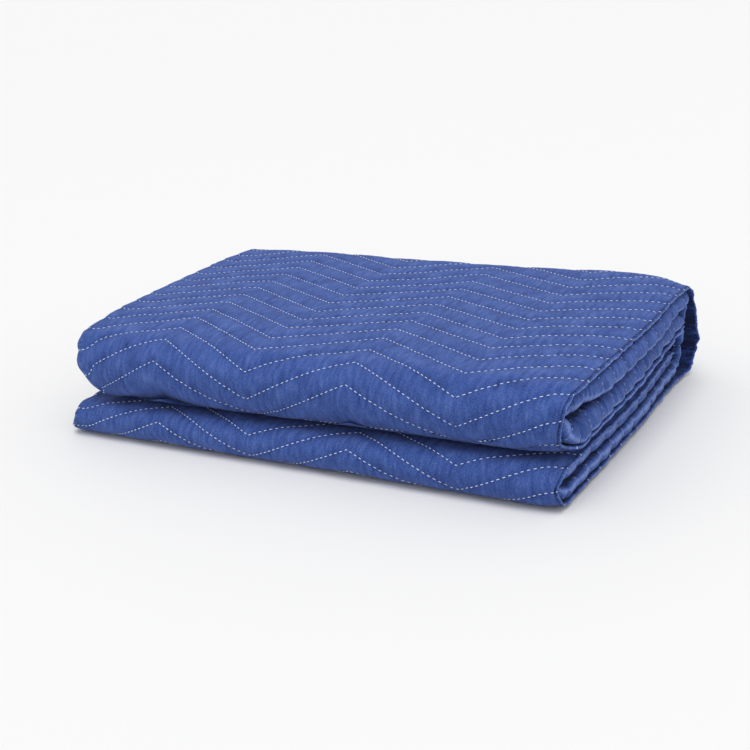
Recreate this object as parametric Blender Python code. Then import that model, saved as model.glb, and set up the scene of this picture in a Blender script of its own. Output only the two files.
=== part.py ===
# A quilted moving blanket, folded for storage. Metres, +Z up.
# X runs along the long folded side, Y from the front fold to the spine.
# The cloth is first folded in three along X, so three plies lie on each other:
# the inner ply and the middle ply meet in a small bend at the right end, and the
# outer ply wraps both at the left end and stops in a free hemmed edge at the right.
# That strip is then folded along Y like a book: it starts inside the spine, runs
# to the front fold, over the top, down the whole spine, under the stack, round
# the lower front fold and back inside. The outer ply stays outside all the way.

import math

import bpy

# Folded size, measured over the outer ply
LENGTH = 0.71
DEPTH = 0.446
TOP_AT_FRONT = 0.133
TOP_AT_BACK = 0.135

# The top is a little pillowed: it swells behind the front shoulder and falls off
# again towards the outer ply's hemmed edge
CROWN_HEIGHT = 0.006
CROWN_FROM_Y = -0.215
CROWN_RISE = 0.10
CROWN_TO_X = 0.355
CROWN_FALL = 0.12

# The gap that shows as a dark line between the upper and the lower packet
GAP_HEIGHT = 0.052
GAP_WIDTH = 0.003
LOWER_FOLD_FORWARD = 0.008

# The lower packet is squashed more at the left end, so the gap lies lower there
GAP_DROP = 0.009
GAP_DROP_FROM_X = 0.36

# The two inner runs rise towards the spine, as the lower packet is thicker there, and
# end inside it
INNER_RUN_UPPER = 0.340
INNER_RUN_LOWER = 0.338
INNER_SLOPE_UPPER = 0.055
INNER_SLOPE_LOWER = 0.050

# Outer radii of the spine's two corners, and the angle that the spine bows through
SPINE_TOP_RADIUS = 0.040
SPINE_BOTTOM_RADIUS = 0.027
SPINE_BOW = 0.30

# Space between plies, how far the small bend's slit stays from its nose, and how far
# the middle ply's free edge stays from the centre of the left end's bend
PLY_GAP = 0.0013
SLIT_INSET = 0.009
MIDDLE_EDGE_INSET = 0.0015

# Zigzag sewing: rows lie one pitch apart and swing two pitches high as they run along X
ROW_PITCH = 0.0333
ROW_START_FROM_FRONT_FOLD = -0.0097
ZIGZAG_HALF_PERIOD = 0.139
ZIGZAG_SWING = 0.0333
ZIGZAG_VALLEY_X = -0.056
COLUMNS_PER_ZIGZAG = 4
ZIGZAG_FADE = 0.100

# The mesh has a column at each corner of the zigzag and between them on the outer
# face, two columns on the faces between the plies, a line on each sewn row and one on
# each puff, more round the bends
OUTER_COLUMN_LIMIT = 0.330
INSIDE_COLUMN_X = 0.25
STEPS_ON_RUNS = (0.0, 0.5)
STEPS_ON_BENDS = (0.0, 0.33, 0.67)
STEPS_UNDERNEATH = (0.5,)
TROUGH_AT_STEP = {0.0: 1.0, 0.33: 0.1, 0.5: 0.0, 0.67: 0.1}
BENDS = (("front fold", "top run"), ("spine top", "spine"), ("spine bottom", "bottom run"),
         ("lower front fold", "lower inner run"))

# How far a sewn row pulls in the small bend and the left end, the hemmed edge half
# as much, and how deep the rows are on the strip's inner face beside the outer one
END_NOTCH = 0.0026
HEM_NOTCH_SHARE = 0.5
INNER_TROUGH_SHARE = 0.4

# The outer ply's hem is thinner than the ply and its face falls to it. A hemmed edge's
# rounding along X, and the angle that its arc reaches up and down
HEM_THICKNESS = 0.50
HEM_FALL = 0.050
HEM_ROUNDING = 0.004
HEM_ARC = 78

# Rounding of the small bend's nose along X, and how far a leaning nose shifts it
NOSE_ROUNDING = 0.010
NOSE_LEAN = 0.55
NOSE_SHIFT = 0.20

# Thickness left at a free end of the folded strip, and over which length it tapers
END_TAPER = 0.012
END_THICKNESS = 0.55

# How far the outer ply lifts off the inner ones at the middle of the front fold
LIFT_AT_FRONT_FOLD = 0.005
LIFT_LENGTH = 0.050

# How each stretch of the folded strip lies. Columns: stretch, place along it from
# 0 to 1, ply thickness, depth of the sewn rows, height of the cloth's unevenness,
# X of the outer ply's hemmed edge, X of the small bend's nose, where that nose sticks
# out most from 1 at the inner face to -1 at the outer one, X of the left end.
STRIP_ROWS = (
    ("upper inner run", 0.00, 0.0108, 0.0008, 0.0, 0.352, 0.352, -1.0, -0.335),
    ("upper inner run", 0.45, 0.0112, 0.0008, 0.0, 0.358, 0.358, -1.0, -0.336),
    ("upper inner run", 0.92, 0.0118, 0.0008, 0.0, 0.353, 0.356, -1.0, -0.330),
    ("front fold", 0.12, 0.0112, 0.0016, 0.3, 0.338, 0.349, -0.6, -0.306),
    ("front fold", 0.30, 0.0105, 0.0026, 0.8, 0.342, 0.344, 0.0, -0.310),
    ("front fold", 0.45, 0.0102, 0.0026, 1.0, 0.346, 0.344, 0.0, -0.314),
    ("front fold", 0.85, 0.0104, 0.0024, 1.0, 0.354, 0.354, 0.5, -0.330),
    ("top run", 0.10, 0.0108, 0.0022, 1.0, 0.354, 0.359, 1.0, -0.342),
    ("top run", 0.50, 0.0100, 0.0020, 1.0, 0.355, 0.361, 1.0, -0.352),
    ("top run", 0.88, 0.0084, 0.0022, 1.0, 0.351, 0.353, 1.0, -0.350),
    ("spine top", 0.40, 0.0076, 0.0024, 1.0, 0.347, 0.340, 0.0, -0.345),
    ("spine", 0.30, 0.0074, 0.0026, 1.0, 0.351, 0.334, 0.0, -0.341),
    ("spine", 0.80, 0.0074, 0.0024, 0.8, 0.347, 0.331, 0.0, -0.340),
    ("spine bottom", 0.50, 0.0074, 0.0010, 0.4, 0.341, 0.331, 0.0, -0.340),
    ("bottom run", 0.04, 0.0078, 0.0000, 0.0, 0.339, 0.338, 0.6, -0.342),
    ("bottom run", 0.45, 0.0088, 0.0000, 0.0, 0.345, 0.349, 0.6, -0.344),
    ("bottom run", 0.97, 0.0073, 0.0000, 0.0, 0.344, 0.346, 0.6, -0.345),
    ("lower front fold", 0.30, 0.0069, 0.0014, 0.3, 0.341, 0.338, 0.0, -0.349),
    ("lower front fold", 0.60, 0.0069, 0.0018, 0.5, 0.345, 0.339, 0.0, -0.350),
    ("lower front fold", 0.95, 0.0070, 0.0012, 0.2, 0.346, 0.343, -0.5, -0.340),
    ("lower inner run", 0.45, 0.0084, 0.0008, 0.0, 0.354, 0.351, -1.0, -0.342),
    ("lower inner run", 1.00, 0.0088, 0.0008, 0.0, 0.348, 0.345, -1.0, -0.340),
)
STRIP_COLUMNS = ("stretch", "place", "ply", "trough", "uneven", "edge", "nose", "lean", "left")

# Soft waves in the lie of the cloth. Columns: height, waves over the length,
# waves over the folded depth, phase in turns.
WAVES = (
    (0.0016, 1.3, 0.0, 0.62),
    (0.0005, 3.1, 1.9, 0.55),
    (0.0003, 5.3, 3.7, 0.30),
)

CLOTH_COLOUR = (0.077, 0.118, 0.320, 1.0)
CLOTH_ROUGHNESS = 0.92


def smooth_step(value):
    """Goes from 0 to 1 without a corner."""
    clipped = min(1.0, max(0.0, value))
    return clipped * clipped * (3.0 - 2.0 * clipped)


def fold_path():
    """The book fold as straight runs and arcs, from the upper inner end."""
    inner_front = GAP_HEIGHT + GAP_WIDTH / 2
    front_radius = (TOP_AT_FRONT - inner_front) / 2
    lower_radius = (GAP_HEIGHT - GAP_WIDTH / 2) / 2
    half_bow = SPINE_BOW / 2
    corners = (SPINE_TOP_RADIUS + SPINE_BOTTOM_RADIUS) * (1 - math.sin(half_bow))
    bow_radius = (TOP_AT_BACK - corners) / (2 * math.sin(half_bow))
    bow_depth = bow_radius * (1 - math.cos(half_bow))
    top_length = DEPTH - front_radius - SPINE_TOP_RADIUS * math.cos(half_bow) - bow_depth
    bottom_length = DEPTH + LOWER_FOLD_FORWARD - lower_radius
    bottom_length -= SPINE_BOTTOM_RADIUS * math.cos(half_bow) + bow_depth
    top_slope = (TOP_AT_BACK - TOP_AT_FRONT) / top_length
    quarter = math.pi / 2
    pieces = (
        ("upper inner run", INNER_RUN_UPPER, 0.0),
        ("front fold", front_radius, math.pi + INNER_SLOPE_UPPER - top_slope),
        ("top run", top_length, 0.0),
        ("spine top", SPINE_TOP_RADIUS, quarter + top_slope - half_bow),
        ("spine", bow_radius, SPINE_BOW),
        ("spine bottom", SPINE_BOTTOM_RADIUS, quarter - half_bow),
        ("bottom run", bottom_length, 0.0),
        ("lower front fold", lower_radius, math.pi - INNER_SLOPE_LOWER),
        ("lower inner run", INNER_RUN_LOWER, 0.0),
    )
    path = []
    start, y, z, heading = 0.0, 0.0, 0.0, math.pi + INNER_SLOPE_UPPER
    for name, size, turn in pieces:
        length = size * turn if turn else size
        bend = turn / length if turn else 0.0
        stretch = {"name": name, "start": start, "length": length, "bend": bend,
                   "y": y, "z": z, "heading": heading}
        path.append(stretch)
        y, z, heading = along(stretch, length)
        start += length
    shift_y = -DEPTH / 2 + front_radius - named(path, "front fold")["y"]
    shift_z = -named(path, "bottom run")["z"]
    for stretch in path:
        stretch["y"] += shift_y
        stretch["z"] += shift_z
    return path


def named(path, name):
    return next(stretch for stretch in path if stretch["name"] == name)


def along(stretch, distance):
    """Y, Z and heading on one run or arc, the heading turning clockwise."""
    heading = stretch["heading"]
    bend = stretch["bend"]
    if not bend:
        return (stretch["y"] + distance * math.cos(heading),
                stretch["z"] + distance * math.sin(heading), heading)
    ahead = heading - distance * bend
    return (stretch["y"] + (math.sin(heading) - math.sin(ahead)) / bend,
            stretch["z"] + (math.cos(ahead) - math.cos(heading)) / bend, ahead)


def place_on(path, distance):
    """Y, Z and heading of the outer ply's outer face at a distance along the fold."""
    stretch = path[0]
    for candidate in path:
        if candidate["start"] <= distance:
            stretch = candidate
    return along(stretch, distance - stretch["start"])


def strip_table(path):
    """The strip's rows with the distance along the fold at which each holds."""
    table = []
    for row in STRIP_ROWS:
        values = dict(zip(STRIP_COLUMNS, row))
        stretch = named(path, values["stretch"])
        values["distance"] = stretch["start"] + values["place"] * stretch["length"]
        table.append(values)
    return table


def strip_at(table, distance):
    """The strip's sizes at a distance, eased between the rows."""
    before, after = table[0], table[-1]
    for row in table:
        if row["distance"] <= distance:
            before = row
    for row in reversed(table):
        if row["distance"] > distance:
            after = row
    span = after["distance"] - before["distance"]
    share = smooth_step((distance - before["distance"]) / span) if span > 0 else 0.0
    return {key: before[key] + share * (after[key] - before[key])
            for key in STRIP_COLUMNS[2:]}


def zigzag(x):
    """How far a sewn row lies off its middle line, up the front, at one X."""
    turns = abs((x - ZIGZAG_VALLEY_X) / ZIGZAG_HALF_PERIOD) % 2.0
    return ZIGZAG_SWING * (2.0 * min(turns, 2.0 - turns) - 1.0)


def unevenness(x, distance):
    """The small rise and fall of the cloth where nothing presses it flat."""
    total = 0.0
    for height, over_length, over_depth, phase in WAVES:
        turns = over_length * x / LENGTH + over_depth * distance / DEPTH + phase
        total += height * math.sin(2 * math.pi * turns)
    return total


def pressed(x, y, z):
    """Height after the lower packet is squashed towards the left end and the upper
    packet has swelled."""
    drop = GAP_DROP * (GAP_DROP_FROM_X - x) / LENGTH
    if z < GAP_HEIGHT:
        return z - drop * z / GAP_HEIGHT
    crown = CROWN_HEIGHT * smooth_step((y - CROWN_FROM_Y) / CROWN_RISE)
    crown *= smooth_step((CROWN_TO_X - x) / CROWN_FALL)
    z -= drop * max(0.0, TOP_AT_BACK - z) / (TOP_AT_BACK - GAP_HEIGHT)
    return z + crown * (z - GAP_HEIGHT) / (TOP_AT_BACK - GAP_HEIGHT)


def arc(centre_x, centre_h, half_x, half_h, start, stop, count):
    """Points on an ellipse in the strip's own section, both ends included."""
    points = []
    for index in range(count):
        angle = math.radians(start + (stop - start) * index / (count - 1))
        points.append((centre_x + half_x * math.cos(angle), centre_h + half_h * math.sin(angle)))
    return points


def nose_arc(nose, thickness, lean):
    """The small bend from its outer side to its inner one, leaning to one of them."""
    tip = thickness * (0.5 - NOSE_SHIFT * lean)
    outer_half = NOSE_ROUNDING * (1 + NOSE_LEAN * lean)
    inner_half = NOSE_ROUNDING * (1 - NOSE_LEAN * lean)
    points = arc(nose - outer_half, tip, outer_half, thickness - tip, 90, 0, 3)
    return points + arc(nose - inner_half, tip, inner_half, tip, 0, -90, 3)[1:]


def outer_columns():
    """X of the outer face's columns, on the zigzag's corners and between them."""
    step = ZIGZAG_HALF_PERIOD / COLUMNS_PER_ZIGZAG
    first = math.ceil((-OUTER_COLUMN_LIMIT - ZIGZAG_VALLEY_X) / step)
    last = math.floor((OUTER_COLUMN_LIMIT - ZIGZAG_VALLEY_X) / step)
    return [ZIGZAG_VALLEY_X + step * index for index in range(first, last + 1)]


def section(strip, lift, notch):
    """Closed outline of the three plies: X, height off the inner face, and which
    face it is on. Height 0 is the inner ply's inner face."""
    ply = strip["ply"]
    inner_top = ply
    middle_low = ply + PLY_GAP
    middle_top = 2 * ply + PLY_GAP
    outer_low = 2 * ply + 2 * PLY_GAP + lift
    outer_top = outer_low + ply
    edge = strip["edge"] - HEM_NOTCH_SHARE * notch
    nose = strip["nose"] - notch
    left = strip["left"] + notch
    left_centre = left + outer_top / 2
    middle_edge = left_centre + MIDDLE_EDGE_INSET
    inside = (-INSIDE_COLUMN_X, INSIDE_COLUMN_X)
    hem = HEM_THICKNESS * ply
    points = []
    for column in outer_columns():
        x = max(column, left_centre + 0.006)
        fall = max(0.0, 1 - (edge - x) / HEM_FALL) ** 2
        points.append((x, outer_top - fall * (ply - hem), "outer"))
    points += [(x, h, "edge") for x, h in
               arc(edge - HEM_ROUNDING, outer_low + hem / 2, HEM_ROUNDING, hem / 2,
                   HEM_ARC, -HEM_ARC, 4)]
    points += [(x, outer_low, "hidden") for x in reversed(inside)]
    points += [(x, h, "hidden") for x, h in
               arc(left_centre, (outer_low + inner_top) / 2, (outer_low - inner_top) / 2,
                   (outer_low - inner_top) / 2, 90, 270, 4)]
    points += [(x, inner_top, "hidden") for x in inside]
    points += [(nose - SLIT_INSET, inner_top, "hidden"), (nose - SLIT_INSET, middle_low, "hidden")]
    points += [(x, middle_low, "hidden") for x in reversed(inside)]
    points += [(x, h, "hidden") for x, h in
               arc(middle_edge, (middle_low + middle_top) / 2, HEM_ROUNDING, ply / 2,
                   270, 90, 3)]
    points += [(x, middle_top, "hidden") for x in inside]
    points += [(x, h, "nose") for x, h in nose_arc(nose, middle_top, strip["lean"])]
    points += [(x, 0.0, "inner") for x in reversed(inside)]
    points += [(x, h, "left") for x, h in
               arc(left_centre, outer_top / 2, outer_top / 2, outer_top / 2, 270, 90, 5)]
    return points, outer_top


def stations(path):
    """Distances of the mesh lines across the strip, each with its sewn trough."""
    end = path[-1]["start"] + path[-1]["length"]
    front = named(path, "front fold")
    bottom = named(path, "bottom run")
    first_row = front["start"] + front["length"] / 2 + ROW_START_FROM_FRONT_FOLD
    first_row -= ROW_PITCH * math.floor(first_row / ROW_PITCH)
    bends = [(named(path, first)["start"], named(path, after)["start"]) for first, after in BENDS]
    lines = [(0.0, 0.0), (END_TAPER, 0.0)]
    rows = int((end - first_row) / ROW_PITCH) + 1
    for row in range(rows):
        base = first_row + row * ROW_PITCH
        steps = STEPS_ON_RUNS
        if any(first - ROW_PITCH < base < last for first, last in bends):
            steps = STEPS_ON_BENDS
        elif bottom["start"] + ROW_PITCH < base < bottom["start"] + bottom["length"]:
            steps = STEPS_UNDERNEATH
        for step in steps:
            distance = base + step * ROW_PITCH
            if 2 * END_TAPER < distance < end - 2 * END_TAPER:
                lines.append((distance, TROUGH_AT_STEP[step]))
    lines += [(end - END_TAPER, 0.0), (end, 0.0)]
    return lines, end


def split(vertices, corners):
    """A four-sided patch as two triangles, along its shorter diagonal."""
    a, b, c, d = corners
    if math.dist(vertices[a], vertices[c]) <= math.dist(vertices[b], vertices[d]):
        return [(a, b, c), (a, c, d)]
    return [(a, b, d), (b, c, d)]


def folded_blanket():
    """Vertices and faces of the whole folded strip."""
    path = fold_path()
    table = strip_table(path)
    lines, end = stations(path)
    front = named(path, "front fold")
    fold_middle = front["start"] + front["length"] / 2
    vertices = []
    count = 0
    for distance, trough in lines:
        from_end = min(distance, end - distance)
        fade = smooth_step(from_end / ZIGZAG_FADE)
        squeeze = END_THICKNESS + (1 - END_THICKNESS) * smooth_step(from_end / END_TAPER)
        strip = strip_at(table, distance)
        near_fold = smooth_step(1 - abs(distance - fold_middle) / LIFT_LENGTH)
        lift = LIFT_AT_FRONT_FOLD * near_fold
        points, thickness = section(strip, lift, END_NOTCH * trough)
        count = len(points)
        slope = (zigzag(strip["edge"]) - zigzag(strip["left"])) / (strip["edge"] - strip["left"])
        for x, height, face in points:
            if face == "outer":
                shift = zigzag(x)
            else:
                shift = zigzag(strip["left"]) + slope * (x - strip["left"])
            at = distance + fade * shift
            y, z, heading = place_on(path, at)
            here = strip_at(table, at)
            inward = thickness - height
            if face == "outer":
                inward += here["trough"] * trough
            if face == "inner":
                inward -= INNER_TROUGH_SHARE * here["trough"] * trough
            inward = thickness / 2 + squeeze * (inward - thickness / 2)
            inward -= here["uneven"] * unevenness(x, at)
            y += inward * math.sin(heading)
            z = max(0.0, z - inward * math.cos(heading))
            vertices.append((x, y, pressed(x, y, z)))
    faces = []
    for line in range(len(lines) - 1):
        for point in range(count):
            following = (point + 1) % count
            corners = (line * count + point, line * count + following,
                       (line + 1) * count + following, (line + 1) * count + point)
            faces += split(vertices, corners)
    faces.append(tuple(range(count - 1, -1, -1)))
    faces.append(tuple(range((len(lines) - 1) * count, len(lines) * count)))
    return vertices, faces


def centred(vertices):
    """Moved so that the origin is under the middle of the folded blanket."""
    middles = []
    for axis in (0, 1):
        values = [vertex[axis] for vertex in vertices]
        middles.append((min(values) + max(values)) / 2)
    return [(x - middles[0], y - middles[1], z) for x, y, z in vertices]


def cloth_material():
    material = bpy.data.materials.new("quilted cloth")
    material.use_nodes = True
    shader = material.node_tree.nodes["Principled BSDF"]
    shader.inputs["Base Color"].default_value = CLOTH_COLOUR
    shader.inputs["Roughness"].default_value = CLOTH_ROUGHNESS
    shader.inputs["Metallic"].default_value = 0.0
    return material


def main():
    for thing in list(bpy.data.objects):
        bpy.data.objects.remove(thing, do_unlink=True)
    collection = bpy.data.collections.new("moving blanket")
    bpy.context.scene.collection.children.link(collection)
    vertices, faces = folded_blanket()
    mesh = bpy.data.meshes.new("blanket")
    mesh.from_pydata(centred(vertices), [], faces)
    mesh.validate()
    mesh.shade_smooth()
    mesh.materials.append(cloth_material())
    blanket = bpy.data.objects.new("blanket", mesh)
    collection.objects.link(blanket)


main()
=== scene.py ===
import math
import bpy
import numpy as np
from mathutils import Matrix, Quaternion, Vector, noise


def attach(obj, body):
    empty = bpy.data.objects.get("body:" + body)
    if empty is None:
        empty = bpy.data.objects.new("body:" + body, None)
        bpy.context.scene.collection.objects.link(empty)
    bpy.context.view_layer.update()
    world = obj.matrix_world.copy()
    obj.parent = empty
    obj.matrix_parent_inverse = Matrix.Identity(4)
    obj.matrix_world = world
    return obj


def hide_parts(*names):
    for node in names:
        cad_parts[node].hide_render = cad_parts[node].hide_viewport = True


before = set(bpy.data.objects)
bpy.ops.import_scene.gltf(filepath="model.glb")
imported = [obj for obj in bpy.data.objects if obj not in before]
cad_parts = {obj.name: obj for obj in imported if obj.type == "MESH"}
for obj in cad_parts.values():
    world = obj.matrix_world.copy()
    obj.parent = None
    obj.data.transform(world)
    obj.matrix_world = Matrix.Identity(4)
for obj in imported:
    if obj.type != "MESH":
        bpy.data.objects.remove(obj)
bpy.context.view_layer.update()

# How the blanket lies: three plies along X, then folded like a book along Y.
# The sizes are the solid's own, in metres.
fold = {
    "length": 0.71,
    "depth": 0.446,
    "topAtFront": 0.133,
    "topAtBack": 0.135,
    "gapHeight": 0.052,  # the dark line between the two packets
    "gapWidth": 0.003,
    "lowerFoldForward": 0.008,
    "gapDrop": 0.009,  # the gap lies lower towards the left end
    "gapDropFromX": 0.36,
    "innerRunUpper": 0.340,
    "innerRunLower": 0.338,
    "innerSlopeUpper": 0.055,
    "innerSlopeLower": 0.050,
    "spineTopRadius": 0.040,
    "spineBottomRadius": 0.027,
    "spineBow": 0.30,
    "plyGap": 0.0013,
    "slitInset": 0.009,
    "middleEdgeInset": 0.0015,
    "besideLeft": 0.002,
    "endNotch": 0.0026,
    "hemNotchShare": 0.5,
    "hemThickness": 0.50,  # of the ply's, and the ply's face falls to it
    "hemFall": 0.050,
    "hemRounding": 0.004,
    "noseRounding": 0.010,
    "noseLean": 0.55,
    "noseShift": 0.20,
    "endTaper": 0.012,
    "endThickness": 0.55,
    "liftAtFrontFold": 0.005,
    "liftLength": 0.050,
    "crownHeight": 0.006,  # the top swells behind the front shoulder
    "crownFromY": -0.215,
    "crownRise": 0.10,
    "crownToX": 0.355,
    "crownFall": 0.12,
}

# The three plies along the fold: the stretch, the place in it, and the sizes there
stripColumns = ("stretch", "place", "ply", "trough", "uneven", "edge", "nose", "lean", "left")
stripRows = (
    ("upper inner run", 0.00, 0.0108, 0.0008, 0.0, 0.352, 0.352, -1.0, -0.335),
    ("upper inner run", 0.45, 0.0112, 0.0008, 0.0, 0.358, 0.358, -1.0, -0.336),
    ("upper inner run", 0.92, 0.0118, 0.0008, 0.0, 0.353, 0.356, -1.0, -0.330),
    ("front fold", 0.12, 0.0112, 0.0016, 0.3, 0.338, 0.349, -0.6, -0.306),
    ("front fold", 0.30, 0.0105, 0.0022, 0.8, 0.342, 0.343, 0.0, -0.310),
    ("front fold", 0.45, 0.0102, 0.0022, 1.0, 0.346, 0.338, 0.0, -0.314),
    ("front fold", 0.85, 0.0104, 0.0018, 1.0, 0.354, 0.348, 0.5, -0.330),
    ("top run", 0.10, 0.0108, 0.0014, 1.0, 0.354, 0.359, 1.0, -0.342),
    ("top run", 0.50, 0.0100, 0.0012, 1.0, 0.355, 0.361, 1.0, -0.352),
    ("top run", 0.88, 0.0084, 0.0014, 1.0, 0.351, 0.353, 1.0, -0.350),
    ("spine top", 0.40, 0.0076, 0.0012, 1.0, 0.347, 0.340, 0.0, -0.345),
    ("spine", 0.30, 0.0074, 0.0026, 1.0, 0.351, 0.334, 0.0, -0.341),
    ("spine", 0.80, 0.0074, 0.0024, 0.8, 0.347, 0.331, 0.0, -0.340),
    ("spine bottom", 0.50, 0.0074, 0.0010, 0.4, 0.341, 0.331, 0.0, -0.340),
    ("bottom run", 0.04, 0.0078, 0.0000, 0.0, 0.339, 0.338, 0.6, -0.342),
    ("bottom run", 0.45, 0.0088, 0.0000, 0.0, 0.345, 0.349, 0.6, -0.344),
    ("bottom run", 0.97, 0.0073, 0.0000, 0.0, 0.344, 0.346, 0.6, -0.345),
    ("lower front fold", 0.30, 0.0069, 0.0014, 0.3, 0.341, 0.338, 0.0, -0.349),
    ("lower front fold", 0.60, 0.0069, 0.0018, 0.5, 0.345, 0.339, 0.0, -0.350),
    ("lower front fold", 0.95, 0.0070, 0.0012, 0.2, 0.346, 0.343, -0.5, -0.340),
    ("lower inner run", 0.45, 0.0084, 0.0008, 0.0, 0.354, 0.351, -1.0, -0.342),
    ("lower inner run", 1.00, 0.0088, 0.0008, 0.0, 0.348, 0.345, -1.0, -0.340),
)
# Gentle unevenness: height, turns over the length, turns over the depth, and phase
waves = ((0.0012, 1.3, 0.0, 0.62), (0.0003, 3.1, 1.9, 0.55), (0.0002, 5.3, 3.7, 0.30))

# The zigzag quilting and the puffs between its rows
quilt = {
    "pitch": 0.0333,
    "startFromFrontFold": -0.0097,
    "halfPeriod": 0.139,
    "swing": 0.0333,
    "valleyX": -0.056,
    "fade": 0.100,
    "roundness": 2.3,  # above 2 the puffs are flatter and the rows sharper
    "innerTroughShare": 0.4,
    "bottomTrough": 0.0009,
    "bottomEase": 0.02,
    "rowCurl": 0.004,  # the rows turn down just before the hem
    "rowCurlLength": 0.022,
}

# Puckers along the rows, gathers across the bands, and crumples at the open end of the spine
pucker = {
    "height": 0.0016,
    "across": 0.0068,
    "along": 0.030,
    "fullDepth": 0.003,  # where the rows are this deep the puckers are at their full height
    "least": 0.15,
    "reach": 0.45,
    "bottomFlatness": 0.8,
    "seed": 3.0,
}
bandPucker = {"height": 0.0014, "across": 0.0095, "along": 0.03, "seed": 21.0}
crumple = {
    "height": 0.0042,
    "across": 0.014,
    "along": 0.012,
    "seed": 33.0,
    "reach": 0.055,
    "fromX": 0.30,
    "ease": 0.04,
}

# The back right corner sags
backCorner = {"droop": 0.0055, "fromX": 0.305, "width": 0.050, "fromY": 0.115, "depth": 0.10}

# Painted light on the open end: paler rims are painted highlights, and darker creases and hollows are
# painted shade
paintedShading = {
    "highlightShift": 0.20,  # the painted highlight lies where the small bend sticks out most
    "highlightWidth": 0.13,
    "cornerShare": 0.62,  # how far round the front fold its hollow of painted shade lies
    "cornerReach": 0.016,
    # how dark the painted shade is in the front corner's hollow and at the spine's open end
    "cornerShadeDepth": 1.6,
    "spineShadeDepth": 0.45,
}

# The mesh: columns across the plies, and lines for each row of quilting by how much of a stretch is seen
grid = {
    "columnsPerZigzag": 50,
    "columnLow": -0.290,
    "columnHigh": 0.322,
    "columnsBesideLeft": 10,
    "columnsBesideHem": 10,
    "hiddenX": (-0.27, -0.10, 0.10, 0.27),
    "underHemX": 0.30,
    "slitX": 0.31,
    "innerX": (0.325, 0.31, 0.29, 0.25, 0.20, 0.10, 0.0, -0.10, -0.20, -0.27),
    "hemPoints": 8,
    "nosePoints": 9,
    "innerBendPoints": 7,
    "middleEdgePoints": 4,
    "leftPoints": 20,
    "linesSeen": 8,
    "linesInside": 6,
    "linesUnder": 3,
    "pastStretch": 0.2,  # of a row's pitch
    "endLines": (0.0, 0.4, 1.0),  # shares of the end taper
    "clearOfEnd": 1.4,
}


def smoothStep(value):
    clipped = np.clip(value, 0.0, 1.0)
    return clipped * clipped * (3.0 - 2.0 * clipped)


def along(stretch, distance):  # Y, Z and heading at a distance into a run or bend
    y, z, heading, bend = (stretch[key] for key in ("y", "z", "heading", "bend"))
    if not bend:
        return y + distance * math.cos(heading), z + distance * math.sin(heading), heading
    ahead = heading - distance * bend
    y += (math.sin(heading) - math.sin(ahead)) / bend
    z += (math.cos(ahead) - math.cos(heading)) / bend
    return y, z, ahead


def foldPath():  # straight runs and arcs of the outermost face, seen from the open end
    f = fold
    frontRadius = (f["topAtFront"] - f["gapHeight"] - f["gapWidth"] / 2) / 2
    lowerRadius = (f["gapHeight"] - f["gapWidth"] / 2) / 2
    halfBow = f["spineBow"] / 2
    corners = (f["spineTopRadius"] + f["spineBottomRadius"]) * (1 - math.sin(halfBow))
    bowRadius = (f["topAtBack"] - corners) / (2 * math.sin(halfBow))
    bowDepth = bowRadius * (1 - math.cos(halfBow))
    topLength = f["depth"] - frontRadius - f["spineTopRadius"] * math.cos(halfBow) - bowDepth
    bottomLength = f["depth"] + f["lowerFoldForward"] - lowerRadius
    bottomLength -= f["spineBottomRadius"] * math.cos(halfBow) + bowDepth
    topSlope = (f["topAtBack"] - f["topAtFront"]) / topLength
    pieces = (
        ("upper inner run", f["innerRunUpper"], 0.0),
        ("front fold", frontRadius, math.pi + f["innerSlopeUpper"] - topSlope),
        ("top run", topLength, 0.0),
        ("spine top", f["spineTopRadius"], math.pi / 2 + topSlope - halfBow),
        ("spine", bowRadius, f["spineBow"]),
        ("spine bottom", f["spineBottomRadius"], math.pi / 2 - halfBow),
        ("bottom run", bottomLength, 0.0),
        ("lower front fold", lowerRadius, math.pi - f["innerSlopeLower"]),
        ("lower inner run", f["innerRunLower"], 0.0),
    )
    path = {}
    start, y, z, heading = 0.0, 0.0, 0.0, math.pi + f["innerSlopeUpper"]
    for name, size, turn in pieces:
        length = size * turn if turn else size
        bend = turn / length if turn else 0.0
        path[name] = {"start": start, "length": length, "bend": bend, "y": y, "z": z, "heading": heading}
        y, z, heading = along(path[name], length)
        start += length
    shiftY = -f["depth"] / 2 + frontRadius - path["front fold"]["y"]
    shiftZ = -path["bottom run"]["z"]
    for stretch in path.values():
        stretch["y"] += shiftY
        stretch["z"] += shiftZ
    return path


path = foldPath()
stretches = list(path.values())
pathEnd = stretches[-1]["start"] + stretches[-1]["length"]
frontFoldMiddle = path["front fold"]["start"] + path["front fold"]["length"] / 2


def pathAt(distance):  # Y, Z and heading for an array of distances
    starts = np.array([s["start"] for s in stretches])
    index = np.clip(np.searchsorted(starts, distance, "right") - 1, 0, len(stretches) - 1)
    keys = ("y", "z", "heading", "bend")
    y, z, heading, bend = (np.array([s[key] for s in stretches])[index] for key in keys)
    onwards = distance - starts[index]
    ahead = heading - onwards * bend
    safe = np.where(bend == 0, 1.0, bend)
    straightY = onwards * np.cos(heading)
    straightZ = onwards * np.sin(heading)
    y = y + np.where(bend == 0, straightY, (np.sin(heading) - np.sin(ahead)) / safe)
    z = z + np.where(bend == 0, straightZ, (np.cos(ahead) - np.cos(heading)) / safe)
    return y, z, ahead


stripValues = np.array([row[2:] for row in stripRows])
stripPlaces = np.array([path[row[0]]["start"] + row[1] * path[row[0]]["length"] for row in stripRows])


def stripAt(distance):  # the strip's sizes for an array of distances, eased between its rows
    index = np.clip(np.searchsorted(stripPlaces, distance, "right") - 1, 0, len(stripPlaces) - 2)
    share = smoothStep((distance - stripPlaces[index]) / (stripPlaces[index + 1] - stripPlaces[index]))
    values = stripValues[index] + share[..., None] * (stripValues[index + 1] - stripValues[index])
    return {key: values[..., i] for i, key in enumerate(stripColumns[2:])}


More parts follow.
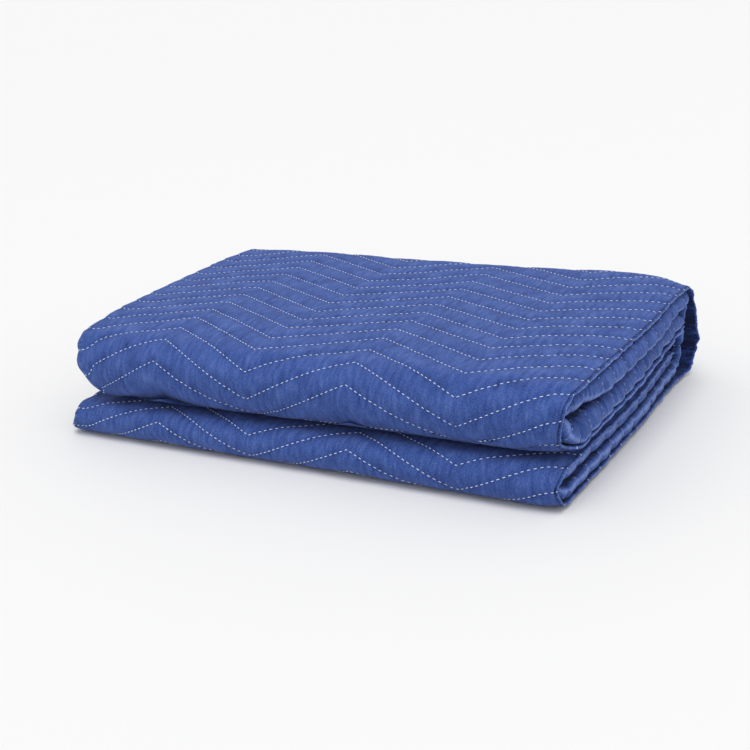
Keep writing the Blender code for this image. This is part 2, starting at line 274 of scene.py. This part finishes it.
def zigzag(x):
    turns = np.abs((x - quilt["valleyX"]) / quilt["halfPeriod"]) % 2.0
    return quilt["swing"] * (2.0 * np.minimum(turns, 2.0 - turns) - 1.0)


def unevenness(x, distance):
    total = 0.0
    for height, overLength, overDepth, phase in waves:
        turns = overLength * x / fold["length"] + overDepth * distance / fold["depth"] + phase
        total = total + height * np.sin(2 * math.pi * turns)
    return total


def arc(centreX, centreH, halfX, halfH, start, stop, count):
    angles = np.radians(np.linspace(start, stop, count))
    return [(centreX + halfX * math.cos(a), centreH + halfH * math.sin(a)) for a in angles]


def noseArc(nose, thickness, lean):  # from its outer side to its inner one, leaning to one of them
    tip = thickness * (0.5 - fold["noseShift"] * lean)
    outerHalf = fold["noseRounding"] * (1 + fold["noseLean"] * lean)
    innerHalf = fold["noseRounding"] * (1 - fold["noseLean"] * lean)
    count = grid["nosePoints"]
    points = arc(nose - outerHalf, tip, outerHalf, thickness - tip, 90, 0, count)
    return points + arc(nose - innerHalf, tip, innerHalf, tip, 0, -90, count)[1:]


# The hem's edge and the groove that its stitching pulls in
hem = {
    "groove": 0.0009,
    "grooveFromEdge": 0.0085,
    "grooveWidth": 0.0016,
    "arcStart": 72,
    "arcStop": -78,
}


# Across the three plies: X, height off the innermost face, and the face that a point is on
def section(strip, lift, notch, outerColumns):
    ply = strip["ply"]
    gap = fold["plyGap"]
    middleLow = ply + gap
    middleTop = 2 * ply + gap
    outerLow = 2 * ply + 2 * gap + lift
    outerTop = outerLow + ply
    edge = strip["edge"] - fold["hemNotchShare"] * notch
    nose = strip["nose"] - notch
    left = strip["left"] + notch
    leftCentre = left + outerTop / 2
    slit = nose - fold["slitInset"]
    hemRounding = fold["hemRounding"]
    hemThick = fold["hemThickness"] * ply
    hemStart = edge - hemRounding
    rightwards = grid["hiddenX"]
    leftwards = rightwards[::-1]
    slitX = grid["slitX"]
    points = []

    def add(face, places):
        points.extend((x, h, face) for x, h in places)

    leftStart = leftCentre + fold["besideLeft"]
    besideLeft = np.linspace(leftStart, outerColumns[0], grid["columnsBesideLeft"] + 1)
    besideHem = np.linspace(outerColumns[-1], hemStart, grid["columnsBesideHem"] + 1)
    for x in list(besideLeft[:-1]) + outerColumns + list(besideHem[1:]):
        fall = max(0.0, 1 - (edge - x) / fold["hemFall"]) ** 2
        points.append((x, outerTop - fall * (ply - hemThick), "outer"))
    add("edge", arc(hemStart, outerLow + hemThick / 2, hemRounding, hemThick / 2,
                    hem["arcStart"], hem["arcStop"], grid["hemPoints"]))
    add("hidden", [(x, outerLow) for x in (grid["underHemX"],) + leftwards[1:]])
    bend = (outerLow - ply) / 2
    add("hidden", arc(leftCentre, ply + bend, bend, bend, 90, 270, grid["innerBendPoints"]))
    add("hidden", [(x, ply) for x in rightwards])
    add("slit", [(x, ply) for x in np.linspace(slitX, slit, 3)])
    add("slit", [(x, middleLow) for x in np.linspace(slit, slitX, 3)])
    add("hidden", [(x, middleLow) for x in leftwards])
    add("hidden", arc(leftCentre + fold["middleEdgeInset"], (middleLow + middleTop) / 2,
                      hemRounding, ply / 2, 270, 90, grid["middleEdgePoints"]))
    add("hidden", [(x, middleTop) for x in rightwards + (slitX,)])
    add("nose", noseArc(nose, middleTop, strip["lean"]))
    add("inner", [(x, 0.0) for x in grid["innerX"]])
    add("left", arc(leftCentre, outerTop / 2, outerTop / 2, outerTop / 2, 270, 90, grid["leftPoints"]))
    return points, outerTop


def linesInRow(base):  # most where the row is seen, fewest where it lies underneath
    def isBetween(first, last):
        low = path[first]["start"] - quilt["pitch"]
        high = path[last]["start"] + grid["pastStretch"] * quilt["pitch"]
        return low < base < high

    if isBetween("front fold", "bottom run") or isBetween("lower front fold", "lower inner run"):
        return grid["linesSeen"]
    if isBetween("bottom run", "lower front fold"):
        return grid["linesUnder"]
    return grid["linesInside"]


def meshLines():  # distances of the mesh lines, and each one's place between two rows of quilting
    pitch = quilt["pitch"]
    firstRow = frontFoldMiddle + quilt["startFromFrontFold"]
    firstRow -= pitch * math.floor(firstRow / pitch)
    taper = fold["endTaper"]
    clear = grid["clearOfEnd"] * taper
    lines = [(share * taper, 0.5) for share in grid["endLines"]]
    for row in range(int((pathEnd - firstRow) / pitch) + 1):
        base = firstRow + row * pitch
        count = linesInRow(base)
        for step in range(count):
            distance = base + pitch * step / count
            if clear < distance < pathEnd - clear:
                lines.append((distance, step / count))
    return lines + [(pathEnd - share * taper, 0.5) for share in grid["endLines"][::-1]]


def gathers(u, v, sizes):  # narrow across and long along
    u, v, seed = u / sizes["across"], v / sizes["along"], sizes["seed"]
    flat = np.zeros(u.size)
    for i, (a, b) in enumerate(zip(u.ravel(), v.ravel())):
        flat[i] = noise.noise((a, b, seed)) + 0.5 * noise.noise((2.1 * a, 1.7 * b, seed + 9.0))
    return flat.reshape(u.shape)


def settled(x, y, z):  # the gap falls to the left end, the top swells, and the back right corner sags
    gapHeight = fold["gapHeight"]
    above = fold["topAtBack"] - gapHeight
    drop = fold["gapDrop"] * (fold["gapDropFromX"] - x) / fold["length"]
    lower = z - drop * z / gapHeight
    upper = z - drop * np.maximum(0.0, fold["topAtBack"] - z) / above
    crown = fold["crownHeight"] * smoothStep((y - fold["crownFromY"]) / fold["crownRise"])
    crown = crown * smoothStep((fold["crownToX"] - x) / fold["crownFall"])
    upper = upper + crown * (upper - gapHeight) / above
    droop = backCorner["droop"] * smoothStep((x - backCorner["fromX"]) / backCorner["width"])
    droop = droop * smoothStep((y - backCorner["fromY"]) / backCorner["depth"])
    upper = upper - droop * (upper - gapHeight) / above
    return np.where(z < gapHeight, lower, upper)


def paintedLightAndShade(faces, strips, base, nearSpine):  # painted highlights on the rims, and painted shade in the creases beside them, in the front fold's corner hollow and at the spine's open end
    paintedHighlights = np.zeros(nearSpine.shape)
    paintedShades = np.zeros(nearSpine.shape)
    for kind in ("nose", "edge"):
        index = np.flatnonzero(faces == kind)
        steps = np.linspace(0.0, 1.0, len(index))[None, :]
        tip = 0.5 + paintedShading["highlightShift"] * strips["lean"][:, None] * (kind == "nose")
        paintedHighlights[:, index] = np.exp(-((steps - tip) / paintedShading["highlightWidth"]) ** 2)
        paintedShades[:, index] = np.abs(2.0 * steps - 1.0) ** 3
    # painted shade in the hollow at the front fold's corner
    cornerAt = path["front fold"]["start"] + paintedShading["cornerShare"] * path["front fold"]["length"]
    inCorner = np.exp(-((base - cornerAt) / paintedShading["cornerReach"]) ** 2)[:, None]
    nose = np.flatnonzero(faces == "nose")
    upperSide = smoothStep(1.4 - 2.6 * np.linspace(0.0, 1.0, len(nose)))[None, :]
    paintedShades[:, nose] += paintedShading["cornerShadeDepth"] * inCorner * upperSide
    # painted shade at the spine's crumpled open end
    paintedShades += paintedShading["spineShadeDepth"] * nearSpine * np.isin(faces, ("nose", "slit"))
    return paintedHighlights, paintedShades


def outlines(strips, lift, trough, outerColumns):  # the section at every mesh line
    x, height, thickness = [], [], []
    for i in range(len(lift)):
        strip = {key: float(values[i]) for key, values in strips.items()}
        points, top = section(strip, float(lift[i]), fold["endNotch"] * float(trough[i]), outerColumns)
        x.append([p[0] for p in points])
        height.append([p[1] for p in points])
        thickness.append(top)
    faces = np.array([p[2] for p in points])
    return np.array(x), np.array(height), np.array(thickness)[:, None], faces


def onRows(x, base, strips, thickness, isOuter):  # distances along the fold, so that each line is a zigzag
    edge, left = strips["edge"][:, None], strips["left"][:, None]
    slope = (zigzag(edge) - quilt["rowCurl"] - zigzag(left)) / (edge - left)
    straight = zigzag(left) + slope * (x - left)
    leftBend = left + thickness / 2
    ownRow = smoothStep((x - leftBend) / (grid["columnLow"] - leftBend)) * isOuter
    curl = quilt["rowCurl"] * smoothStep(1 - (edge - x) / quilt["rowCurlLength"])
    fade = smoothStep(np.minimum(base, pathEnd - base) / quilt["fade"])[:, None]
    return base[:, None] + fade * (straight + ownRow * (zigzag(x) - curl - straight))


def foldedCloth():
    step = quilt["halfPeriod"] / grid["columnsPerZigzag"]
    first = math.ceil((grid["columnLow"] - quilt["valleyX"]) / step)
    last = math.floor((grid["columnHigh"] - quilt["valleyX"]) / step)
    outerColumns = [quilt["valleyX"] + step * i for i in range(first, last + 1)]
    lines = meshLines()
    base = np.array([line[0] for line in lines])
    between = np.array([line[1] for line in lines])
    trough = np.abs(2.0 * between - 1.0) ** quilt["roundness"]
    fromEnd = np.minimum(base, pathEnd - base)
    squeeze = fold["endThickness"] + (1 - fold["endThickness"]) * smoothStep(fromEnd / fold["endTaper"])
    lift = fold["liftAtFrontFold"] * smoothStep(1 - np.abs(base - frontFoldMiddle) / fold["liftLength"])
    strips = stripAt(base)
    x, height, thickness, faces = outlines(strips, lift, trough, outerColumns)
    trough = trough[:, None]
    isOuter, isInner = faces == "outer", faces == "inner"
    at = onRows(x, base, strips, thickness, isOuter)
    y, z, heading = pathAt(at)
    here = stripAt(at)
    onBottom = smoothStep((at - path["bottom run"]["start"]) / quilt["bottomEase"])
    onBottom = onBottom * smoothStep((path["lower front fold"]["start"] - at) / quilt["bottomEase"])
    depth = np.maximum(here["trough"], quilt["bottomTrough"] * onBottom)
    inward = thickness - height
    inward = inward + np.where(isOuter, depth * trough, 0.0)
    inward = inward - np.where(isInner, quilt["innerTroughShare"] * here["trough"] * trough, 0.0)
    inward = thickness / 2 + squeeze[:, None] * (inward - thickness / 2)
    inward = inward - here["uneven"] * unevenness(x, at)

    fromEdge = strips["edge"][:, None] - x
    groove = hem["groove"] * np.exp(-((fromEdge - hem["grooveFromEdge"]) / hem["grooveWidth"]) ** 2)
    inward = inward + np.where(isOuter, groove, 0.0)

    free = np.clip(here["trough"] / pucker["fullDepth"], pucker["least"], 1.0)
    free = free * (1 - pucker["bottomFlatness"] * onBottom)
    besideRow = np.exp(-(1 - trough) / pucker["reach"])
    puckers = gathers(x, at, pucker) * (0.45 + 0.55 * besideRow)
    inward = inward + np.where(isOuter, free * pucker["height"] * puckers, 0.0)
    y = y + inward * np.sin(heading)
    z = settled(x, y, np.maximum(0.0, z - inward * np.cos(heading)))

    isBand = np.isin(faces, ("nose", "edge", "left"))
    pull = np.where(isBand, bandPucker["height"] * gathers(at, height, bandPucker), 0.0)
    spineMiddle = path["spine"]["start"] + path["spine"]["length"] / 2
    nearSpine = np.exp(-((at - spineMiddle) / crumple["reach"]) ** 2)
    nearSpine = nearSpine * smoothStep((x - crumple["fromX"]) / crumple["ease"])
    pull = pull + crumple["height"] * nearSpine * gathers(at, height, crumple)
    x = x + pull * np.where(faces == "left", -1.0, 1.0)
    paintedHighlights, paintedShades = paintedLightAndShade(faces, strips, base, nearSpine)
    return {
        "positions": np.stack((x, y, z), axis=-1),
        "faces": faces,
        "base": base,
        "between": between,
        "at": at,
        "trough": trough,
        "strips": strips,
        "x": x,
        "paintedHighlights": paintedHighlights,
        "paintedShades": paintedShades,
    }


cloth = foldedCloth()
lineCount, pointCount = cloth["positions"].shape[:2]
print("cloth grid", lineCount, "x", pointCount, "triangles", 2 * lineCount * pointCount)

# The solid is centred on its own box, so the same shift applies here
centring = {"x": 0.0045, "y": -0.0054}
cloth["positions"][..., 0] -= centring["x"]
cloth["positions"][..., 1] -= centring["y"]


def makeMesh(name, vertices, faces):
    mesh = bpy.data.meshes.new(name)
    mesh.from_pydata(vertices, [], faces)
    mesh.validate()
    mesh.shade_smooth()
    thing = bpy.data.objects.new(name, mesh)
    bpy.context.scene.collection.objects.link(thing)
    return thing


def gridFaces(lines, points):  # quads of a closed outline swept over the lines, and its two ends
    faces = []
    for line in range(lines - 1):
        for point in range(points):
            following = (point + 1) % points
            faces.append((line * points + point, line * points + following,
                          (line + 1) * points + following, (line + 1) * points + point))
    faces.append(tuple(range(points - 1, -1, -1)))
    faces.append(tuple(range((lines - 1) * points, lines * points)))
    return faces


def addPointValue(thing, name, values):
    attribute = thing.data.attributes.new(name, "FLOAT", "POINT")
    attribute.data.foreach_set("value", np.ascontiguousarray(values, dtype=np.float32).ravel())


def addPointPlace(thing, name, values):
    attribute = thing.data.attributes.new(name, "FLOAT_VECTOR", "POINT")
    attribute.data.foreach_set("vector", np.ascontiguousarray(values, dtype=np.float32).ravel())


def clothPlaces():  # each point's place on the flat cloth: across the plies and along the fold
    positions, faces = cloth["positions"], cloth["faces"]
    steps = np.linalg.norm(np.diff(positions, axis=1), axis=2)
    across = np.concatenate((np.zeros((lineCount, 1)), np.cumsum(steps, axis=1)), axis=1)
    closing = np.linalg.norm(positions[:, 0] - positions[:, -1], axis=1)
    beforeOuter = across - across[:, -1:] - closing[:, None] + cloth["x"][:, :1]
    across = np.where(faces == "left", beforeOuter, across)
    across = np.where(faces == "outer", cloth["x"], across)
    return np.stack((across, cloth["at"], np.zeros_like(across)), axis=-1)


def isOn(*kinds):
    return np.broadcast_to(np.isin(cloth["faces"], kinds), cloth["x"].shape).astype(float)


blanket = makeMesh("quiltedBlanket", cloth["positions"].reshape(-1, 3).tolist(),
                   gridFaces(lineCount, pointCount))
addPointPlace(blanket, "clothPlace", clothPlaces())
for name, values in (
    # how near each point lies to a quilting row's trough, where the material paints shade
    ("nearRow", np.broadcast_to(cloth["trough"], cloth["x"].shape)),
    ("onBand", isOn("nose", "edge", "left", "slit")),
    # the faces between and under the plies, which the material darkens with painted shade
    ("inside", isOn("hidden", "slit")),
    # painted highlight on the rims of the open end's bends and hem
    ("rim", cloth["paintedHighlights"]),
    # painted shade in the creases beside the rims, the front corner's hollow and the spine's open end
    ("crease", cloth["paintedShades"]),
):
    addPointValue(blanket, name, values)
print("blanket mesh made", len(blanket.data.polygons), "faces")

# Thread: short stitches with a gap between, pulled into the cloth at both ends
thread = {
    "seed": 41,
    "stitch": 0.0042,
    "pitch": 0.0071,
    "radius": 0.00044,
    "flatness": 0.75,
    "rise": 0.00028,
    "sink": 0.00045,
    "jitter": 0.05,
    "sides": 5,
    "endSize": 0.35,
    "endShare": 0.2,
    "dark": (0.62, 0.70, 0.92, 1.0),
    "light": (0.84, 0.90, 1.0, 1.0),
}
# The same pale quilting thread where it crosses the open end's bands, given darker colours as painted
# shade
shadedBandThread = {
    "seed": 42,
    "stitch": 0.0034,
    "pitch": 0.0072,
    "radius": 0.00036,
    "rise": 0.00012,
    "sink": 0.0004,
    "dark": (0.20, 0.26, 0.55, 1.0),
    "light": (0.42, 0.48, 0.78, 1.0),
}
hemThread = {
    "seed": 43,
    "stitch": 0.0034,
    "pitch": 0.0050,
    "radius": 0.00040,
    "rise": 0.00015,
    "sink": 0.0004,
    "dark": (0.05, 0.08, 0.24, 1.0),
    "light": (0.09, 0.13, 0.34, 1.0),
}


def surfaceNormals(positions):
    alongLine = np.roll(positions, -1, axis=1) - np.roll(positions, 1, axis=1)
    acrossLines = np.empty_like(positions)
    acrossLines[1:-1] = positions[2:] - positions[:-2]
    acrossLines[0] = positions[1] - positions[0]
    acrossLines[-1] = positions[-1] - positions[-2]
    normals = np.cross(alongLine, acrossLines)
    return normals / np.maximum(np.linalg.norm(normals, axis=2, keepdims=True), 1e-12)


def stitchesOn(route, normals, sizes, draws, vertices, faces):  # route and normals: points in order
    lengths = np.linalg.norm(np.diff(route, axis=0), axis=1)
    total = np.concatenate(([0.0], np.cumsum(lengths)))

    def at(distance):
        place = [np.interp(distance, total, route[:, k]) for k in range(3)]
        up = [np.interp(distance, total, normals[:, k]) for k in range(3)]
        return np.array(place), np.array(up) / np.linalg.norm(up)

    sides = thread["sides"]
    small, near = thread["endSize"], thread["endShare"]
    rings = ((0.0, small, -sizes["sink"]), (near, 1.0, sizes["rise"]),
             (1.0 - near, 1.0, sizes["rise"]), (1.0, small, -sizes["sink"]))
    start = 0.5 * (sizes["pitch"] - sizes["stitch"])
    while start + sizes["stitch"] < total[-1]:
        length = sizes["stitch"] * (1 + thread["jitter"] * draws.uniform(-1, 1))
        first = len(vertices)
        head, _ = at(start)
        tail, _ = at(start + length)
        forward = (tail - head) / np.linalg.norm(tail - head)
        for share, size, raised in rings:
            place, up = at(start + share * length)
            side = np.cross(forward, up)
            side /= np.linalg.norm(side)
            up = np.cross(side, forward)
            for k in range(sides):
                angle = 2 * math.pi * k / sides
                reach = sizes["radius"] * size
                offset = side * reach * math.cos(angle)
                offset = offset + up * reach * thread["flatness"] * math.sin(angle)
                corner = place + up * raised + offset
                vertices.append((corner[0], corner[1], max(corner[2], 0.0)))
        for ring in range(3):
            for k in range(sides):
                a, b = first + ring * sides + k, first + ring * sides + (k + 1) % sides
                faces.append((a, b, b + sides, a + sides))
        faces.append(tuple(first + k for k in range(sides - 1, -1, -1)))
        faces.append(tuple(first + 3 * sides + k for k in range(sides)))
        start += sizes["pitch"] * (1 + 0.4 * thread["jitter"] * draws.uniform(-1, 1))


def spans(wanted):  # runs of consecutive points that are wanted
    runs, run = [], []
    for index, keep in enumerate(wanted):
        if keep:
            run.append(index)
        elif run:
            runs.append(run)
            run = []
    return runs + ([run] if run else [])


rowsSeen = {"before": 0.03, "after": 0.02}  # how far past the seen stretches the wide faces are sewn


def sewRows(name, sizes, onEnd):  # the wide faces and the left end, or the open end's bands
    positions = cloth["positions"]
    normals = surfaceNormals(positions)
    draws = np.random.default_rng(sizes["seed"])
    vertices, faces = [], []
    order = np.roll(np.arange(pointCount), grid["leftPoints"])  # the left end runs on into the outer face
    kinds = cloth["faces"][order]
    for line in range(lineCount):
        distance = cloth["base"][line]
        if cloth["between"][line] > 1e-6:
            continue
        seen = distance > path["front fold"]["start"] - rowsSeen["before"]
        seen = seen and distance < path["lower inner run"]["start"] + rowsSeen["after"]
        wanted = ("nose",) if onEnd else ("outer", "left", "edge") if seen else ("left",)
        for run in spans(np.isin(kinds, wanted)):
            chosen = order[run]
            stitchesOn(positions[line][chosen], normals[line][chosen], sizes, draws, vertices, faces)
    return makeMesh(name, vertices, faces)


def sewHem():
    positions = cloth["positions"]
    normals = surfaceNormals(positions)
    draws = np.random.default_rng(hemThread["seed"])
    vertices, faces = [], []
    outer = np.flatnonzero(cloth["faces"] == "outer")
    route, ups = [], []
    for line in range(lineCount):
        target = cloth["strips"]["edge"][line] - hem["grooveFromEdge"]
        across = cloth["x"][line, outer]
        low = int(np.searchsorted(across, target)) - 1
        share = (target - across[low]) / (across[low + 1] - across[low])
        a, b = outer[low], outer[low + 1]
        route.append(positions[line, a] * (1 - share) + positions[line, b] * share)
        ups.append(normals[line, a] * (1 - share) + normals[line, b] * share)
    first, last = np.searchsorted(
        cloth["base"], [path["front fold"]["start"], path["lower inner run"]["start"]])
    stitchesOn(np.array(route[first:last]), np.array(ups[first:last]), hemThread, draws, vertices, faces)
    return makeMesh("hemThread", vertices, faces)


quiltingThread = sewRows("quiltingThread", thread, False)
bandStitches = sewRows("shadedBandThread", shadedBandThread, True)
hemStitches = sewHem()
for piece in (quiltingThread, bandStitches, hemStitches):
    print(piece.name, sum(len(p.vertices) - 2 for p in piece.data.polygons), "triangles")


# Materials
class Signal:  # one value, colour or vector on its way through a material
    def __init__(self, finish, socket):
        self.finish = finish
        self.socket = socket

    def __add__(self, other):
        return self.finish.math("ADD", self, other)

    def __radd__(self, other):
        return self.finish.math("ADD", other, self)

    def __sub__(self, other):
        return self.finish.math("SUBTRACT", self, other)

    def __rsub__(self, other):
        return self.finish.math("SUBTRACT", other, self)

    def __mul__(self, other):
        return self.finish.math("MULTIPLY", self, other)

    def __rmul__(self, other):
        return self.finish.math("MULTIPLY", other, self)


class Finish:
    def __init__(self, name):
        self.material = bpy.data.materials.new(name)
        self.material.use_nodes = True
        self.tree = self.material.node_tree
        self.shader = self.tree.nodes["Principled BSDF"]

    def node(self, kind, settings=None, output=0, **sockets):
        made = self.tree.nodes.new(kind)
        for key, value in (settings or {}).items():
            if key == "stops":
                ramp = made.color_ramp.elements
                while len(ramp) < len(value):
                    ramp.new(0.5)
                for element, (position, colour) in zip(ramp, value):
                    element.position = position
                    element.color = colour
            else:
                setattr(made, key, value)
        for key, value in sockets.items():
            self.put(made.inputs[int(key[1:]) if key[0] == "i" and key[1:].isdigit() else key], value)
        return Signal(self, made.outputs[output])

    def put(self, socket, value):
        if isinstance(value, Signal):
            self.tree.links.new(value.socket, socket)
        else:
            socket.default_value = value

    def math(self, operation, a, b):
        return self.node("ShaderNodeMath", {"operation": operation}, i0=a, i1=b)

    def mix(self, factor, a, b):  # colours
        return self.node("ShaderNodeMix", {"data_type": "RGBA"}, 2, i0=factor, i6=a, i7=b)

    def stretched(self, place, scale):
        return self.node("ShaderNodeVectorMath", {"operation": "MULTIPLY"}, i0=place, i1=scale)

    def noise(self, place, detail=2.0, roughness=0.5):
        return self.node("ShaderNodeTexNoise", None, 0, Vector=place, Scale=1.0,
                         Detail=detail, Roughness=roughness)

    def attribute(self, name):
        return self.node("ShaderNodeAttribute", {"attribute_name": name}, 2)

    def set(self, **values):
        for key, value in values.items():
            self.put(self.shader.inputs[key.replace("_", " ")], value)


clothLook = {
    "shade": (0.005, 0.011, 0.045, 1.0),
    "deep": (0.018, 0.044, 0.190, 1.0),
    "middle": (0.041, 0.087, 0.304, 1.0),
    "light": (0.088, 0.150, 0.420, 1.0),
    "paleAndHighlight": (0.150, 0.225, 0.520, 1.0),
    "roughness": 0.92,
    "sheen": 0.06,
    "sheenRoughness": 0.5,
    "specular": 0.25,
    "weave": 1500.0,  # threads a metre, about
    "threadLength": 0.22,  # how much less the weave changes along a thread than across it
    "fleck": 0.35,
    "gatherAcross": 190.0,
    "gatherAlong": 46.0,
    "blotch": 26.0,
    "stops": (0.0, 0.16, 0.5, 0.84, 1.0),  # from shade to the palest colour, which random tone and the painted highlights reach
    # the tone's weights: random mottling, painted shade on the rows, the inside faces and the creases, and
    # painted highlights on the rims
    "tone": {"fine": 0.90, "blotches": 0.55, "flecks": 0.70, "weave": 0.50, "bands": 0.25,
             "rows": 0.16, "inside": 0.45, "paintedHighlights": 0.62, "paintedShades": 0.42},
    "bump": {"fine": 0.9, "bands": 0.7, "flecks": 0.10, "weave": 0.10},
    "bumpStrength": 0.80,
    "bumpDistance": 0.0016,
}


def clothFinish():
    f = Finish("quiltedCloth")
    place = f.node("ShaderNodeAttribute", {"attribute_name": "clothPlace"}, 1)
    # where painted shade falls along the rows and on the inside faces
    nearRow, onBand, inside = f.attribute("nearRow"), f.attribute("onBand"), f.attribute("inside")
    rim, crease = f.attribute("rim"), f.attribute("crease")
    share, raised = clothLook["tone"], clothLook["bump"]
    weave, blotch = clothLook["weave"], clothLook["blotch"]
    fleck, slow = clothLook["fleck"] * weave, clothLook["threadLength"] * weave
    a, b = clothLook["gatherAcross"], clothLook["gatherAlong"]
    faceGathers = f.noise(f.stretched(place, (a, b, 1.0)), 3.0, 0.55)
    bandGathers = f.noise(f.stretched(place, (b, a, 1.0)), 3.0, 0.55)
    blotches = f.noise(f.stretched(place, (blotch, blotch, 1.0)), 3.0, 0.6)
    flecks = f.noise(f.stretched(place, (fleck, fleck, 1.0)), 2.0, 0.6)
    warp = f.noise(f.stretched(place, (weave, slow, 1.0)), 1.0, 0.5)
    weft = f.noise(f.stretched(place, (slow, weave, 1.0)), 1.0, 0.5)
    fine = faceGathers + onBand * (bandGathers - faceGathers)
    tone = 0.5 + share["fine"] * (fine - 0.5) + share["blotches"] * (blotches - 0.5)
    tone = tone + share["flecks"] * (flecks - 0.5) + share["weave"] * (warp - weft)
    tone = tone + share["bands"] * onBand * (fine - 0.5)
    # painted shade along the quilting rows' troughs and on the inside faces
    tone = tone - share["rows"] * nearRow - share["inside"] * inside
    # painted highlights brighten the rims, and painted shade darkens the creases and hollows
    tone = tone + share["paintedHighlights"] * rim - share["paintedShades"] * crease
    colours = [clothLook[key] for key in ("shade", "deep", "middle", "light", "paleAndHighlight")]
    colour = f.node("ShaderNodeValToRGB", {"stops": tuple(zip(clothLook["stops"], colours))}, Fac=tone)
    height = (raised["fine"] + raised["bands"] * onBand) * fine
    height = height + raised["flecks"] * flecks + raised["weave"] * (warp + weft)
    bump = f.node("ShaderNodeBump", None, 0, Strength=clothLook["bumpStrength"],
                  Distance=clothLook["bumpDistance"], Height=height)
    f.set(Base_Color=colour, Roughness=clothLook["roughness"], Normal=bump,
          Sheen_Weight=clothLook["sheen"], Sheen_Roughness=clothLook["sheenRoughness"],
          Specular_IOR_Level=clothLook["specular"])
    return f.material


threadLook = {"plies": (2600.0, 900.0, 2600.0), "roughness": 0.7, "sheen": 0.1}


def threadFinish(name, sizes):
    f = Finish(name)
    place = f.node("ShaderNodeTexCoord", None, 3)
    plies = f.noise(f.stretched(place, threadLook["plies"]), 1.0, 0.5)
    colour = f.mix(plies, sizes["dark"], sizes["light"])
    f.set(Base_Color=colour, Roughness=threadLook["roughness"], Sheen_Weight=threadLook["sheen"])
    return f.material


blanket.data.materials.append(clothFinish())
quiltingThread.data.materials.append(threadFinish("paleThread", thread))
# the band stitches' darker thread is painted shade on the pale quilting thread
bandStitches.data.materials.append(threadFinish("shadedThread", shadedBandThread))
hemStitches.data.materials.append(threadFinish("blueThread", hemThread))
print("materials made")

for piece in (blanket, quiltingThread, bandStitches, hemStitches):
    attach(piece, "root")
    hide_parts("blanket")

# Stage
floorLook = {"size": 80.0, "height": -0.0004, "colour": (0.80, 0.80, 0.80, 1.0), "roughness": 0.6,
             "specular": 0.2}


def makeFloor():
    half, height = floorLook["size"] / 2, floorLook["height"]
    corners = [(x, y, height) for x, y in ((-half, -half), (half, -half), (half, half), (-half, half))]
    floor = makeMesh("floor", corners, [(0, 1, 2, 3)])
    f = Finish("paleFloor")
    f.set(Base_Color=floorLook["colour"], Roughness=floorLook["roughness"],
          Specular_IOR_Level=floorLook["specular"])
    floor.data.materials.append(f.material)


lights = (
    {"name": "overhead", "place": (0.3, -0.42, 2.4), "spread": 42.0, "power": 1.38},
    {"name": "side", "place": (2.2, -1.2, 1.9), "spread": 70.0, "power": 0.33},
)
skyLook = {"colour": (1.0, 1.0, 1.0, 1.0), "strength": 0.72}


def aimed(place, aim, roll=0.0):
    turn = (Vector(aim) - Vector(place)).to_track_quat("-Z", "Y")
    return turn @ Quaternion((0, 0, 1), math.radians(roll))


def makeLights():
    for light in lights:
        data = bpy.data.lights.new(light["name"], "SUN")
        data.angle = math.radians(light["spread"])
        data.energy = light["power"]
        lamp = bpy.data.objects.new(light["name"], data)
        lamp.location = light["place"]
        lamp.rotation_mode = "QUATERNION"
        lamp.rotation_quaternion = aimed(light["place"], (0.0, 0.0, 0.0))
        bpy.context.scene.collection.objects.link(lamp)
    world = bpy.data.worlds.new("studio")
    world.use_nodes = True
    background = world.node_tree.nodes["Background"]
    background.inputs["Color"].default_value = skyLook["colour"]
    background.inputs["Strength"].default_value = skyLook["strength"]
    bpy.context.scene.world = world


# The camera stands where the photograph was taken from, and turns to the one blanket
camera = {
    "place": (0.8125, -1.2991, 0.596),
    "aim": (0.0306, -0.0720, 0.068),
    "roll": -5.46,
    "lens": 60.0,
    "wholePhoto": {"aim": (0.4580, -0.4577, 0.068), "roll": -2.14, "lens": 35.3},
}
useWholePhoto = False  # True gives the photograph's own wide framing, for laying side by side


def makeCamera():
    data = bpy.data.cameras.new("camera")
    view = bpy.data.objects.new("camera", data)
    chosen = camera["wholePhoto"] if useWholePhoto else camera
    data.lens = chosen["lens"]
    view.location = camera["place"]
    view.rotation_mode = "QUATERNION"
    view.rotation_quaternion = aimed(camera["place"], chosen["aim"], chosen["roll"])
    bpy.context.scene.collection.objects.link(view)
    bpy.context.scene.camera = view


makeFloor()
makeLights()
makeCamera()
bpy.context.scene.view_settings.view_transform = "Standard"
print("stage, lights and camera made")
